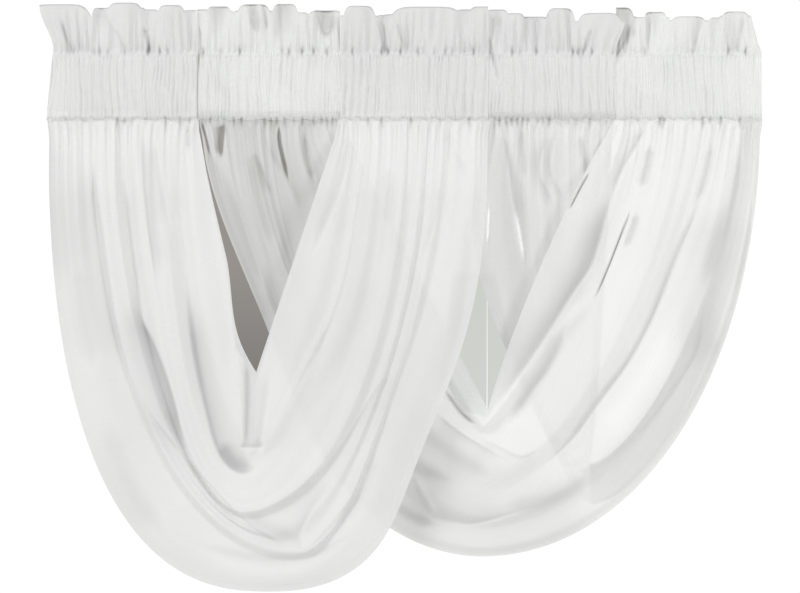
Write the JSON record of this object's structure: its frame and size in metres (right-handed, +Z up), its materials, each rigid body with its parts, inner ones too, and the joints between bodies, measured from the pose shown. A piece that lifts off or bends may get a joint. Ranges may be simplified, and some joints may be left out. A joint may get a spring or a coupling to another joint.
{
  "type": "sheer rod-pocket valance",
  "caption": "Sheer swag valance: gathered rod-pocket headings with a ruffle above, and overlapping draped swags of voile that cross below them.",
  "frame": {"origin": "centre of the rod channel, half way along the heading, where the rod carries the cloth", "axes": "+X along the rod to the right as seen from the room, -Y is the front, towards the room, +Z up"},
  "size_m": [0.9027, 0.0677, 0.7343],
  "materials": {
    "voile_cool_white": "sheer polyester voile, cool white",
    "voile_warm_white": "sheer polyester voile, warm white"
  },
  "bodies": {
    "root": {"heading_1": "voile_cool_white", "heading_2": "voile_warm_white", "heading_3": "voile_cool_white", "heading_4": "voile_cool_white", "heading_5": "voile_warm_white", "swag_left": "voile_cool_white", "swag_right": "voile_warm_white", "swag_back": "voile_cool_white"}
  },
  "joints": []
}
